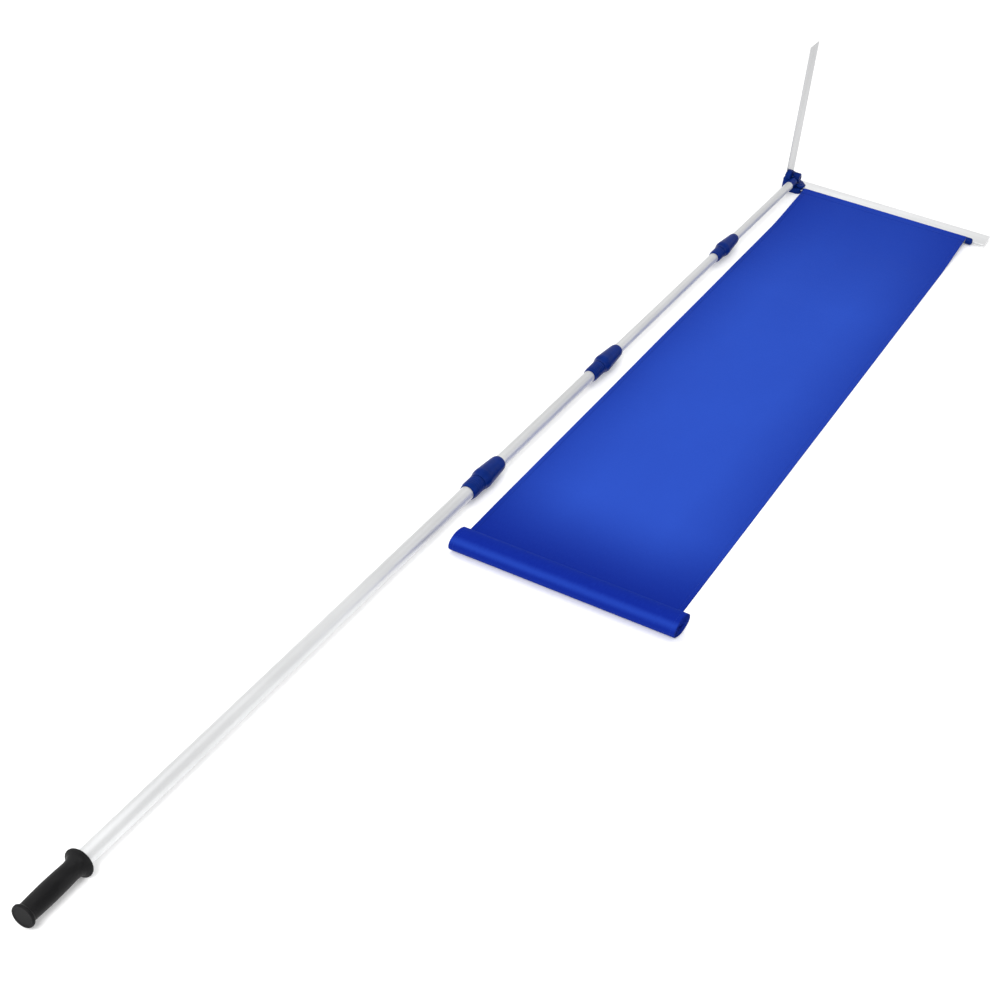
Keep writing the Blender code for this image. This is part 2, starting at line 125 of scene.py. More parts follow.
# ---------------------------------------------------------------- materials
class Paint:
    """A procedural material, built node by node around its Principled shader."""

    def __init__(self, name, **sockets):
        self.material = bpy.data.materials.new(name)
        self.material.use_nodes = True
        self.tree = self.material.node_tree
        self.shader = self.tree.nodes["Principled BSDF"]
        for socket, value in sockets.items():
            self.shader.inputs[socket.replace("_", " ")].default_value = value

    def node(self, kind, inputs=(), **settings):
        made = self.tree.nodes.new(kind)
        for key, value in settings.items():
            setattr(made, key, value)
        for key, value in dict(inputs).items():
            if isinstance(value, bpy.types.NodeSocket):
                self.tree.links.new(value, made.inputs[key])
            else:
                made.inputs[key].default_value = value
        return made

    def place(self, scale=(1.0, 1.0, 1.0)):
        """Object coordinates in metres, stretched by scale."""
        spot = self.node("ShaderNodeTexCoord").outputs["Object"]
        return self.node("ShaderNodeMapping", {"Vector": spot, "Scale": scale}).outputs["Vector"]

    def noise(self, vector, scale, detail=3.0, rough=0.55):
        return self.node("ShaderNodeTexNoise", {
            "Vector": vector, "Scale": scale, "Detail": detail,
            "Roughness": rough}).outputs["Fac"]

    def span(self, value, low, high, start=0.3, end=0.7, how="LINEAR"):
        """value between start and end, carried to low and high."""
        return self.node("ShaderNodeMapRange", {
            "Value": value, "From Min": start, "From Max": end, "To Min": low,
            "To Max": high}, interpolation_type=how).outputs["Result"]

    def mix(self, factor, first, second):
        made = self.node("ShaderNodeMix", data_type="RGBA")
        for socket, value in ((made.inputs["Factor"], factor), (made.inputs[6], first),
                              (made.inputs[7], second)):
            if isinstance(value, bpy.types.NodeSocket):
                self.tree.links.new(value, socket)
            else:
                socket.default_value = value
        return made.outputs[2]

    def math(self, how, first, second=0.0):
        return self.node("ShaderNodeMath", {0: first, 1: second}, operation=how).outputs[0]

    def bump(self, height, distance, strength=1.0, under=None):
        inputs = {"Height": height, "Distance": distance, "Strength": strength}
        if under is not None:
            inputs["Normal"] = under
        return self.node("ShaderNodeBump", inputs).outputs["Normal"]

    def finish(self, colour=None, rough=None, normal=None):
        for socket, value in (("Base Color", colour), ("Roughness", rough), ("Normal", normal)):
            if value is not None:
                self.tree.links.new(value, self.shader.inputs[socket])
        return self.material


def shade(tint, times=1.0, plus=0.0):
    """A tint made lighter or darker, as a colour with its alpha."""
    return (*[min(1.0, c * times + plus) for c in tint], 1.0)


def aluminium(name, tint, rough, along, metal=1.0):
    """Drawn aluminium: fine lines along one axis, soft blotches of oxide, faint scuffs."""
    paint = Paint(name, Metallic=metal, IOR=1.45)

    def drawn(lengthwise, crosswise, detail, broken=0.55):
        scale = [lengthwise if k == along else crosswise for k in "XYZ"]
        return paint.noise(paint.place(scale), 1.0, detail, broken)

    lines, clouds = drawn(4.0, 900.0, 2.0), drawn(2.0, 14.0, 4.0)
    scuffs = drawn(60.0, 220.0, 5.0, 0.7)
    colour = paint.mix(paint.span(clouds, 0.0, 1.0, 0.35, 0.65), shade(tint, 1.04),
                       shade(tint, 0.90))
    colour = paint.mix(paint.span(scuffs, 0.0, 0.35, 0.62, 0.72), colour, shade(tint, 0.78))
    roughness = paint.math("ADD", paint.span(lines, rough - 0.05, rough + 0.06),
                           paint.span(scuffs, 0.0, 0.10, 0.60, 0.72))
    return paint.finish(colour, roughness, paint.bump(lines, 0.00003, 0.55))


def moulded(name, tint, rough, grain=900.0):
    """Moulded plastic: spark-eroded grain, slight mottling, pale rubs on some spots."""
    paint = Paint(name, IOR=1.46, Specular_IOR_Level=0.05, Coat_Weight=0.012, Coat_Roughness=0.20)
    fine = paint.noise(paint.place(), grain, 3.0)
    cloud = paint.noise(paint.place(), 38.0, 4.0)
    rubs = paint.noise(paint.place((90.0, 30.0, 90.0)), 1.0, 6.0, 0.72)
    colour = paint.mix(paint.span(cloud, 0.0, 1.0), shade(tint, 0.86), shade(tint, 1.16, 0.001))
    colour = paint.mix(paint.span(rubs, 0.0, 0.11, 0.60, 0.74), colour, shade(tint, 0.8, 0.015))
    roughness = paint.math("ADD", paint.span(cloud, rough - 0.05, rough + 0.05),
                           paint.span(rubs, 0.0, 0.16, 0.58, 0.74))
    return paint.finish(colour, roughness, paint.bump(fine, 0.00006, 0.5))


def rubber(name, clean, dusty):
    """Moulded rubber: fine pores and a little grey dust."""
    paint = Paint(name, IOR=1.42, Specular_IOR_Level=0.11, Sheen_Weight=0.006,
                  Sheen_Roughness=0.4)
    pores = paint.noise(paint.place(), 1300.0, 4.0, 0.65)
    dust = paint.noise(paint.place((26.0, 9.0, 26.0)), 1.0, 5.0, 0.65)
    colour = paint.mix(paint.span(dust, 0.0, 1.0, 0.38, 0.72), shade(clean), shade(dusty))
    roughness = paint.span(dust, 0.44, 0.60, 0.35, 0.70)
    return paint.finish(colour, roughness, paint.bump(pores, 0.00012, 0.5))


def zinc(name, dark, light):
    """Zinc plating with a fine spangle."""
    paint = Paint(name, Metallic=1.0)
    spangle = paint.noise(paint.place(), 700.0, 2.0)
    colour = paint.mix(paint.span(spangle, 0.0, 1.0), shade(dark), shade(light))
    return paint.finish(colour, paint.span(spangle, 0.22, 0.38),
                        paint.bump(spangle, 0.00004, 0.4))


def coated_cloth(name, shaded_tint, lit_tint):
    """Coated polyester: plain weave under a thin film, with painted shade and a painted highlight.

    The attribute "weave" holds the place across and along the flat cloth, in metres.
    """
    paint = Paint(name, IOR=1.40, Specular_Tint=(0.30, 0.55, 1.0, 1.0), Specular_IOR_Level=0.02,
                  Sheen_Weight=0.08, Sheen_Roughness=0.6, Sheen_Tint=(0.05, 0.22, 1.0, 1.0))
    weave = paint.node("ShaderNodeAttribute", attribute_name="weave").outputs["Vector"]
    across, along = paint.node("ShaderNodeSeparateXYZ", {0: weave}).outputs[:2]

    def woven(scale_across, scale_along, detail, broken=0.55):
        scale = (scale_across, scale_along, 1.0)
        spot = paint.node("ShaderNodeMapping", {"Vector": weave, "Scale": scale})
        return paint.noise(spot.outputs["Vector"], 1.0, detail, broken)

    waves = 2 * math.pi / THREAD_PITCH
    threads = paint.math("MULTIPLY", *[
        paint.math("SINE", paint.math("MULTIPLY", place, waves)) for place in (across, along)])
    slubs = woven(1400.0, 60.0, 2.0)
    clouds = woven(5.0, 2.2, 4.0, 0.5)
    marks = woven(3.0, 42.0, 3.0, 0.6)
    # Painted light: 1 gives the lit blue and 0 the shaded blue. Painted shade darkens the edges,
    # the cloth near the rod and the cloth towards and on the roll, and soft clouds vary it.
    inward = paint.math("MULTIPLY", across, paint.math("SUBTRACT", SHEET_W, across))
    painted_light = paint.math("MULTIPLY", paint.span(inward, 0.55, 1.0, 0.005, 0.060),
                       paint.span(along, 1.0, 0.0, *ROLL_SHADE_SPAN, "SMOOTHSTEP"))
    painted_light = paint.math("MULTIPLY", painted_light, paint.span(along, 0.50, 1.0, 0.05, 0.70))
    painted_light = paint.math("MULTIPLY", painted_light, paint.span(clouds, 0.88, 1.0, 0.30, 0.70))
    # A painted highlight along the fold on the roll's front, broken up by the marks.
    from_fold = paint.math("ABSOLUTE", paint.math("SUBTRACT", along, FOLD_HIGHLIGHT_AT))
    fold_highlight = paint.span(from_fold, 0.50, 0.0, 0.0, FOLD_HIGHLIGHT_REACH, "SMOOTHSTEP")
    painted_light = paint.math("ADD", painted_light, paint.math("MULTIPLY", fold_highlight,
                                                paint.span(marks, 0.7, 1.0, 0.3, 0.7)))
    colour = paint.mix(painted_light, shade(shaded_tint), shade(lit_tint))
    colour = paint.mix(paint.span(threads, 0.0, 0.10, -1.0, 1.0), colour, shade(shaded_tint, 0.55))
    colour = paint.mix(paint.span(slubs, 0.0, 0.08, 0.45, 0.75), colour, shade(lit_tint, 1.5))
    roughness = paint.math("ADD", paint.span(clouds, 0.56, 0.64), paint.span(marks, -0.02, 0.03))
    normal = paint.bump(marks, 0.0008, 0.35)
    normal = paint.bump(paint.math("ADD", threads, paint.math("MULTIPLY", slubs, 0.8)), 0.00006,
                        0.6, normal)
    return paint.finish(colour, roughness, normal)


def thread(name, tint):
    """Sewing thread, with its twist."""
    paint = Paint(name, IOR=1.45, Specular_IOR_Level=0.2, Sheen_Weight=0.05, Sheen_Roughness=0.4)
    twist = paint.noise(paint.place((2600.0, 2600.0, 900.0)), 1.0, 2.0)
    colour = paint.mix(paint.span(twist, 0.0, 1.0), shade(tint, 0.7), shade(tint))
    return paint.finish(colour, paint.span(twist, 0.5, 0.7), paint.bump(twist, 0.0001, 0.5))


def studio_floor(name, dark, light):
    """A matt floor that gives off a little light, which keeps its shadows narrow."""
    paint = Paint(name, IOR=1.4, Specular_IOR_Level=0.15, Emission_Color=WHITE,
                  Emission_Strength=0.16)
    tooth = paint.noise(paint.place(), 60.0, 3.0)
    colour = paint.mix(paint.span(tooth, 0.0, 1.0), shade(dark), shade(light))
    return paint.finish(colour, paint.span(tooth, 0.72, 0.80))


POLE = aluminium("pole_aluminium", (0.68, 0.685, 0.69), 0.46, "Y", 0.70)
# Both blades are one aluminium, in lit and shaded copies: the flat blade's tint is painted lighter
# and the upright blade's darker, for the light on each.
BLADE_FLAT_LIT = aluminium("blade_aluminium_flat_lit", (0.88, 0.885, 0.89), 0.40, "X")
BLADE_UP_SHADED = aluminium("blade_aluminium_upright_shaded", (0.56, 0.563, 0.567), 0.40, "Z")
PLASTIC = moulded("navy_plastic", (0.0010, 0.0165, 0.1480), 0.34)
GREY = moulded("grey_plastic", (0.20, 0.21, 0.22), 0.45, 1100.0)
RUBBER = rubber("grip_rubber", (0.0055, 0.0055, 0.0060), (0.0160, 0.0160, 0.0165))
ZINC = zinc("zinc_steel", (0.52, 0.53, 0.55), (0.68, 0.69, 0.70))
# The cloth's shaded and lit blues, which its painted light mixes between.
CLOTH = coated_cloth("slide_fabric", (0.0046, 0.0168, 0.2360), (0.0230, 0.0720, 0.4700))
THREAD = thread("sheet_thread", (0.014, 0.050, 0.400))
FLOOR = studio_floor("studio_floor", (0.93, 0.93, 0.93), (0.95, 0.95, 0.95))


# ---------------------------------------------------------------- mesh helpers
def add(name, data):
    """An object of some data, in the scene."""
    ob = bpy.data.objects.new(name, data)
    bpy.context.scene.collection.objects.link(ob)
    return ob


def ease(s, a, b):
    """Smooth step from 0 at a to 1 at b."""
    t = min(1.0, max(0.0, (s - a) / (b - a)))
    return t * t * (3 - 2 * t)


def solid(name, verts, faces, material, body, node=(), sharp=0.6):
    """A finished piece: outward faces, smooth but for its sharp edges, riding on its body."""
    mesh = bpy.data.meshes.new(name)
    mesh.from_pydata([tuple(v) for v in verts], [], faces)
    bm = bmesh.new()
    bm.from_mesh(mesh)
    bmesh.ops.remove_doubles(bm, verts=bm.verts, dist=0.0000005)
    bmesh.ops.recalc_face_normals(bm, faces=bm.faces)
    bm.to_mesh(mesh)
    bm.free()
    mesh.materials.append(material)
    mesh.shade_smooth()
    mesh.set_sharp_from_angle(angle=sharp)
    ob = add(name, mesh)
    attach(ob, body)
    if node:
        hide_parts(*([node] if isinstance(node, str) else node))
    return ob


def rounded(corners, size=0.0004, steps=4, closed=False):
    """A profile with its corners rounded.  A corner is (radius, station) or, where it has
    a rounding of its own, (radius, station, rounding)."""
    out, n = [], len(corners)
    for i, corner in enumerate(corners):
        spot = Vector(corner[:2])
        want = corner[2] if len(corner) > 2 else size
        if want <= 0 or not closed and i in (0, n - 1):
            out.append(spot)
            continue
        a = Vector(corners[i - 1][:2]) - spot
        b = Vector(corners[(i + 1) % n][:2]) - spot
        reach = 0.45 * min(a.length, b.length)
        a.normalize()
        b.normalize()
        angle = a.angle(b)
        if angle > math.pi - 0.03 or angle < 0.03:
            out.append(spot)
            continue
        cut = min(want / math.tan(angle / 2), reach)
        centre = spot + (a + b).normalized() * (cut / math.cos(angle / 2))
        start, end = spot + a * cut - centre, spot + b * cut - centre
        turn = start.angle(end)
        for k in range(steps + 1):
            t = k / steps
            out.append(centre + (start * math.sin((1 - t) * turn) + end * math.sin(t * turn))
                       / math.sin(turn))
    return out


def round_the_axis(axis, at, radius, angle, station):
    """The point at a radius and angle round an axis, at a station along it."""
    c, s = radius * math.cos(angle), radius * math.sin(angle)
    return Vector(at) + Vector({"X": (station, c, s), "Y": (c, station, s),
                                "Z": (c, s, station)}[axis])


def lathe(name, profile, at, axis, material, body, node=(), steps=96, closed=False,
          shape=None, sharp=0.6):
    """Turn a profile of (radius, station) about an axis.  shape(angle, radius, station)
    may give the radius another value round the turn, as on a fluted knob."""
    verts, rings, faces = [], [], []
    for r, s in profile:
        if r < 1e-7:
            rings.append([len(verts)] * steps)
            verts.append(round_the_axis(axis, at, 0.0, 0.0, s))
            continue
        rings.append(list(range(len(verts), len(verts) + steps)))
        for k in range(steps):
            a = 2 * math.pi * k / steps
            verts.append(round_the_axis(axis, at, shape(a, r, s) if shape else r, a, s))
    pairs = list(zip(rings, rings[1:])) + ([(rings[-1], rings[0])] if closed else [])
    for low, high in pairs:
        for k in range(steps):
            m = (k + 1) % steps
            face = []
            for v in (low[k], low[m], high[m], high[k]):
                if v not in face:
                    face.append(v)
            if len(face) > 2:
                faces.append(face)
    return solid(name, verts, faces, material, body, node, sharp)


def on_axis(y):
    """The point of the pole's axis at y."""
    return Vector((0.0, y, AXIS_Z))


def turned_place(node, k):
    """A round CAD node's foot on its own axis, which is parallel to axis k, with its length and
    its radius."""
    low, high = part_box(node)
    foot = (low + high) / 2
    foot[k] = low[k]
    return foot, high[k] - low[k], (high[(k + 1) % 3] - low[(k + 1) % 3]) / 2


def dress(node, material):
    """A CAD node whose shape is right keeps it, with a better material."""
    mesh = bpy.data.objects[node].data
    mesh.materials.clear()
    mesh.materials.append(material)


# ---------------------------------------------------------------- pole tubes and grip
BODIES = ["handle_section", "section_2", "section_3", "rake_head"]
LOCKS = ["lock_ring_1", "lock_ring_2", "lock_ring_3"]
tube_r = []
for i, body in enumerate(BODIES):
    low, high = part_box(f"tube_{i + 1}")
    r, wall, length = (high.x - low.x) / 2, TUBE_WALL[i], high.y - low.y
    tube_r.append(r)
    section = [(r, 0.0), (r, length), (r - wall, length), (r - wall, 0.0)]
    lathe(f"pole_tube_{i + 1}", rounded(section, 0.00025, 3, True), on_axis(low.y), "Y", POLE,
          body, f"tube_{i + 1}", closed=True)

for i in (2, 3, 4):
    dress(f"tube_plug_{i}", GREY)

low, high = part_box("handle_grip")
grip_len, bore = high.y - low.y, tube_r[0] + CLEAR
grip = [(0.0, 0.0008), (0.0192, 0.0008, 0.0003), (0.0200, 0.0, 0.0004), (0.0236, 0.0, 0.0012),
        (0.0246, 0.0026, 0.0024), (0.0246, 0.0056, 0.0014), (0.0224, 0.0070, 0.0014),
        (0.0200, 0.0104, 0.0040), (0.0198, 0.0170, 0.0100), (0.0206, 0.0400, 0.0300),
        (0.0211, 0.0720, 0.0400), (0.0207, 0.1000, 0.0400), (0.0196, grip_len - 0.0275, 0.0200),
        (0.0206, grip_len - 0.0180, 0.0080), (0.0232, grip_len - 0.0118, 0.0060),
        (0.0272, grip_len - 0.0082, 0.0040), (0.0305, grip_len - 0.0062, 0.0016),
        (0.0311, grip_len - 0.0036, 0.0024), (0.0300, grip_len, 0.0014),
        (0.0224, grip_len, 0.0010), (0.0210, grip_len - 0.0022, 0.0015),
        (bore, grip_len - 0.0022, 0.0003), (bore, 0.0040, 0.0), (0.0, 0.0040)]
lathe("rubber_grip", rounded(grip, steps=6), on_axis(low.y), "Y", RUBBER, "handle_section",
      "handle_grip", steps=128)


# ---------------------------------------------------------------- twist locks
# In each table a corner is (radius, distance from the lock's rear end, rounding).
for i in range(3):
    low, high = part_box(f"lock_body_{i + 1}")
    nut_low, nut_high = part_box(f"lock_nut_{i + 1}")
    start = low.y
    collar, nut = (high.x - low.x) / 2, (nut_high.x - nut_low.x) / 2
    peak, end = LOCK_PEAK[i], nut_high.y - start
    split, tongue, jaws = peak - SPLIT_BACK, peak + TONGUE, end - JAWS
    big, small, neck = tube_r[i] + CLEAR, tube_r[i + 1] + TUBE_PLAY, NECK_R[i]
    wall = tube_r[i + 1] + CLEAR
    nose, tip = NOSE_R[i], tube_r[i + 1] + 2 * CLEAR + 0.0008

    rear = [(big, LOCK_SEAT + CLEAR, 0.0), (big, 0.0, 0.0003), (REAR_R[i] - 0.0010, 0.0, 0.0006),
            (REAR_R[i], 0.0030, 0.0020), (collar - 0.0006, 0.0100, 0.0060),
            (collar, 0.0140, 0.0040)]
    for k in range(int((split - RING_START - RING_END) / RING_PITCH) + 1):
        s = RING_START + RING_PITCH * k
        rear += [(collar, s, 0.0003), (collar - RING_DEEP, s + 0.0007, 0.0003),
                 (collar - RING_DEEP, s + 0.0016, 0.0003), (collar, s + 0.0023, 0.0003)]
    rear += [(collar, split - 0.0027, 0.0004), (collar - 0.0006, split - 0.0017, 0.0002),
             (neck, split - 0.0017, 0.0), (neck, tongue, 0.0002), (small, tongue, 0.0),
             (small, LOCK_SEAT + CLEAR, 0.0)]
    lathe(f"lock_sleeve_{i + 1}", rounded(rear, 0.0, 4, True), on_axis(start), "Y", PLASTIC,
          BODIES[i], f"lock_body_{i + 1}", closed=True)
    dress(f"collet_{i + 1}", GREY)

    nut_shape = [(neck + 0.0004, split, 0.0002), (collar + 0.0004, split, 0.0003),
                 (collar + 0.0004, split + 0.0030, 0.0060),
                 (collar + 0.0010, split + 0.0080, 0.0200),
                 (nut - 0.0006, peak - 0.0055, 0.0200), (nut, peak + 0.0008, 0.0080),
                 (nose + 0.0004, end - 0.0120, 0.0300), (nose - 0.0006, end - 0.0050, 0.0080),
                 ((tip + nose) / 2 + 0.0002, end - 0.0010, 0.0022), (tip, end, 0.0005),
                 (wall + CLEAR, end, 0.0003), (wall + CLEAR, jaws + 0.0030, 0.0),
                 (wall + 0.0021, jaws + 0.0004, 0.0), (neck + 0.0004, tongue + 0.0003, 0.0)]
    lathe(f"lock_collar_{i + 1}", rounded(nut_shape, 0.0, 7, True), on_axis(start), "Y", PLASTIC,
          LOCKS[i], f"lock_nut_{i + 1}", closed=True)


# ---------------------------------------------------------------- hub, rivet and clamps
dress("hub_body", PLASTIC)

rivet_low, rivet_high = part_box("pole_rivet")
half, mid = (rivet_high.x - rivet_low.x) / 2, (rivet_low + rivet_high) / 2
rivet = [(0.0, half), (0.0026, half - 0.0004, 0.0012), (0.0036, half - 0.0015, 0.0003),
         (0.0020, half - 0.0015, 0.0)]
rivet += [(c[0], -c[1], *c[2:]) for c in reversed(rivet)]
lathe("head_rivet", rounded(rivet, 0.0), mid, "X", ZINC, "rake_head", "pole_rivet",
      steps=40)


def fluted(radius, count=8, tool_out=0.0016, tool=0.0027):
    """The shape of a knob whose rim has been scooped by a round tool, its centre standing
    tool_out beyond the rim."""
    def shape(angle, r, station):
        off = (angle - math.pi / count) % (2 * math.pi / count)
        off = min(off, 2 * math.pi / count - off)
        far = radius + tool_out
        side = far * math.sin(off)
        if abs(side) >= tool:
            return r
        scooped = far * math.cos(off) - math.sqrt(tool * tool - side * side)
        return r * min(1.0, scooped / radius) if r > 0.55 * radius else r
    return shape


for tag, axis, body in (("upper", "X", "upper_knob"), ("lower", "Z", "lower_knob")):
    k = "XYZ".index(axis)
    at, long, head = turned_place(f"clamp_stud_{tag}", k)
    stud = [(0.0, 0.0), (head - 0.0014, 0.0, 0.0010), (head, 0.0012, 0.0006),
            (head, 0.0027, 0.0002), (0.0030, 0.0027, 0.0), (0.0030, long - 0.0006, 0.0002),
            (0.0024, long, 0.0), (0.0, long)]
    lathe(f"carriage_stud_{tag}", rounded(stud), at, axis, ZINC, "rake_head",
          f"clamp_stud_{tag}", steps=48)

    at, thick, rim = turned_place(f"clamp_washer_{tag}", k)
    ring = [(0.0033, 0.0), (rim, 0.0), (rim, thick), (0.0033, thick)]
    lathe(f"plain_washer_{tag}", rounded(ring, 0.0002, 3, True), at, axis, ZINC, "rake_head",
          f"clamp_washer_{tag}", steps=56, closed=True)

    at, tall, rim = turned_place(f"clamp_knob_{tag}", k)
    knob = [(0.0, tall - 0.0014), (0.28 * rim, tall - 0.0014, 0.0008),
            (0.36 * rim, tall - 0.0001, 0.0008), (0.72 * rim, tall, 0.0012),
            (rim, tall - 0.0022, 0.0022), (rim, 0.0010, 0.0010), (rim - 0.0014, 0.0, 0.0006),
            (0.0056, 0.0, 0.0003), (0.0033, 0.0004, 0.0), (0.0033, tall - 0.0030, 0.0),
            (0.0, tall - 0.0030)]
    lathe(f"fluted_knob_{tag}", rounded(knob, 0.0, 5), at, axis, PLASTIC, body,
          f"clamp_knob_{tag}", steps=192, shape=fluted(rim), sharp=0.9)


# ---------------------------------------------------------------- blades
def plate(name, node, thin, material):
    """A flat bar with rounded outer corners and bevelled edges, from its CAD box, which is thin
    along one axis."""
    low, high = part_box(node)
    a, b = [k for k in range(3) if k != thin]
    outline = rounded([(low[a], low[b]), (high[a], low[b]), (high[a], high[b]),
                       (low[a], high[b])], BLADE_CORNER, 6, True)
    verts, loops = [], []
    centre = (low + high) / 2
    for level, inset in ((low[thin], BLADE_EASE), (low[thin] + BLADE_EASE, 0.0),
                         (high[thin] - BLADE_EASE, 0.0), (high[thin], BLADE_EASE)):
        loop = []
        for p in outline:
            spot = Vector((0.0, 0.0, 0.0))
            spot[thin] = level
            for axis, value in ((a, p[0]), (b, p[1])):
                spot[axis] = value - math.copysign(inset, value - centre[axis])
            loop.append(len(verts))
            verts.append(spot)
        loops.append(loop)
    n, faces = len(outline), [loops[0], loops[-1]]
    for lower, upper in zip(loops, loops[1:]):
        faces += [[lower[k], lower[(k + 1) % n], upper[(k + 1) % n], upper[k]] for k in range(n)]
    return solid(name, verts, faces, material, "rake_head", node, 0.5)


plate("upright_blade", "blade_upright", 0, BLADE_UP_SHADED)
plate("flat_blade", "blade_flat", 2, BLADE_FLAT_LIT)

# ---------------------------------------------------------------- hem rod and its caps
dress("hem_rod", GREY)
dress("rod_cap_inner", PLASTIC)
dress("rod_cap_outer", PLASTIC)


# ---------------------------------------------------------------- slide sheet
rod_low, rod_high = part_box("hem_rod")
roll_low, roll_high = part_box("sheet_roll")
rod = (rod_low + rod_high) / 2
rod_r = (rod_high.z - rod_low.z) / 2
roll = (roll_low + roll_high) / 2
SHEET_X0 = rod_low.x
ROLL_END = (roll_low.x, roll_high.x)           # the wound cloth stays between these


def cloth_route():
    """The cloth's middle line in the YZ plane, from its tucked edge over the rod, along the
    floor and into the roll: [(y, z)], and where the flat part ends in that list."""
    wrap = rod_r + CLEAR + TOP
    z0 = TOP + FLOOR_GAP
    out = [(rod.y + wrap + 0.0002, rod.z + 0.0018)]
    tuck, leave = math.radians(TUCK), math.radians(LEAVE)
    for k in range(13):
        a = tuck + (leave - tuck) * k / 12
        out.append((rod.y + wrap * math.cos(a), rod.z + wrap * math.sin(a)))
    top, foot = out[-1], rod.y - SLOPE
    for k in range(1, 25):
        t = 1 - k / 24
        height = ease(t, 0.0, 1.0) * 0.72 + t * t * 0.28
        out.append((foot + (top[0] - foot) * t, z0 + (top[1] - z0) * height))
    for k in range(1, 81):
        out.append((foot + (roll.y - foot) * k / 80, z0))
    flat = len(out) - 1
    radius = roll.z - z0
    for k in range(1, ROLL_TURNS * PER_TURN + 1):
        turn = k / PER_TURN
        a = math.radians(270 - 360 * turn)
        r = radius - ROLL_PITCH * turn
        out.append((roll.y + r * math.cos(a), roll.z + r * math.sin(a)))
    return out, flat


route, FLAT_END = cloth_route()
along = [0.0]
for (y0, z0), (y1, z1) in zip(route, route[1:]):
    along.append(along[-1] + math.hypot(y1 - y0, z1 - z0))
SHEET_LEN = along[-1]
FLAT_LEN = along[FLAT_END]


def on_route(s):
    """(y, z), the direction that the cloth's upper side faces, and the fractional index in the
    route, at a length s along the cloth."""
    s = min(max(s, 0.0), SHEET_LEN)
    low, high = 0, len(along) - 1
    while high - low > 1:
        mid = (low + high) // 2
        low, high = (mid, high) if along[mid] <= s else (low, mid)
    t = (s - along[low]) / (along[high] - along[low])
    here = [a + (b - a) * t for a, b in zip(route[low], route[high])]

    def heading(i):
        a, b = route[max(i - 1, 0)], route[min(i + 1, len(route) - 1)]
        size = math.hypot(b[0] - a[0], b[1] - a[1])
        return (b[0] - a[0]) / size, (b[1] - a[1]) / size

    h0, h1 = heading(low), heading(high)
    dy, dz = h0[0] + (h1[0] - h0[0]) * t, h0[1] + (h1[1] - h0[1]) * t
    size = math.hypot(dy, dz)
    return here, (dz / size, -dy / size), low + t


# The roll's ends lie aslant: its top and back reach further right than its front. Each pair is
# the mean drift of the cloth's edge and the part of it that goes round with the turn.
LEAN_AT = 230.0                    # degrees wound up from the floor to where it is furthest right
LEFT_OUT, RIGHT_OUT = (0.0105, 0.0080), (0.0297, 0.0056)
DRIFT = 0.0016                     # how far the roll's turns have strayed sideways at random
SWELL = 0.0011                     # height of the low waves in the open sheet
# Each crease in the roll: degrees round it, height, width in degrees, phase of its wander.
CREASES = [(118.0, 0.00045, 5.0, 0.3), (92.0, -0.00035, 4.0, 1.1), (150.0, 0.0003, 6.0, 2.0),
           (62.0, 0.0004, 5.0, 2.9), (176.0, -0.0003, 5.0, 4.1), (24.0, 0.0004, 7.0, 5.2),
           (205.0, 0.0003, 6.0, 0.9)]


def crease(angle, u):
    """How far the roll's turns stand out at an angle in degrees and a place across."""
    total = 0.0
    for centre, height, width, phase in CREASES:
        drift = centre + 5.0 * math.sin(4.2 * u + phase)
        off = (angle - drift + 180.0) % 360.0 - 180.0
        total += height * math.exp(-(off / width) ** 2) * (0.6 + 0.4 * math.sin(9.0 * u + phase))
    from_floor = abs((angle - 270.0 + 180.0) % 360.0 - 180.0)
    return total * ease(from_floor, 20.0, 50.0)


def cloth_point(u, s, lift=0.0):
    """Where the cloth's middle layer is at u across its width and s along its length, from 0 at
    the rod; lift is a distance from there towards its upper side."""
    (y, z), (ny, nz), index = on_route(s)
    turn = max(0.0, (index - FLAT_END) / PER_TURN)
    flare = ease(s, FLAT_LEN - 0.075, FLAT_LEN + 0.030)
    lean = math.cos(math.radians(LEAN_AT - 360.0 * turn))
    shift = 0.0
    if turn > 0.8:
        wobble = noise.noise(Vector((turn * 1.7, 3.1, 0.0)))
        shift = DRIFT * wobble * ease(turn, 0.8, 1.6)
    skew = SHEET_SKEW * (rod.y - max(y, roll.y) if turn == 0 else rod.y - roll.y)
    left = SHEET_X0 + skew + flare * (LEFT_OUT[0] + LEFT_OUT[1] * lean) + shift
    right = SHEET_X0 + skew + SHEET_W + flare * (RIGHT_OUT[0] + RIGHT_OUT[1] * lean) + shift
    x = left + (right - left) * u / SHEET_W
    x = min(max(x, ROLL_END[0]), ROLL_END[1]) if turn > 0 else x
    if turn == 0:
        calm = ease(s, 0.10, 0.40) * (1 - ease(s, FLAT_LEN - 0.30, FLAT_LEN - 0.05))
        swell = (1 + math.sin(6.1 * s + 2.3 * math.sin(3.7 * u + 0.4)) * math.cos(5.2 * u + 0.8)
                 + 0.5 * math.sin(11.0 * s - 7.0 * u + 1.2)) * 0.5
        z += SWELL * max(0.0, swell) * calm
    else:
        out = crease(math.degrees(math.atan2(z - roll.z, y - roll.y)), u)
        y, z = y - ny * out, z - nz * out
    return Vector((x, y + ny * lift, z + nz * lift))


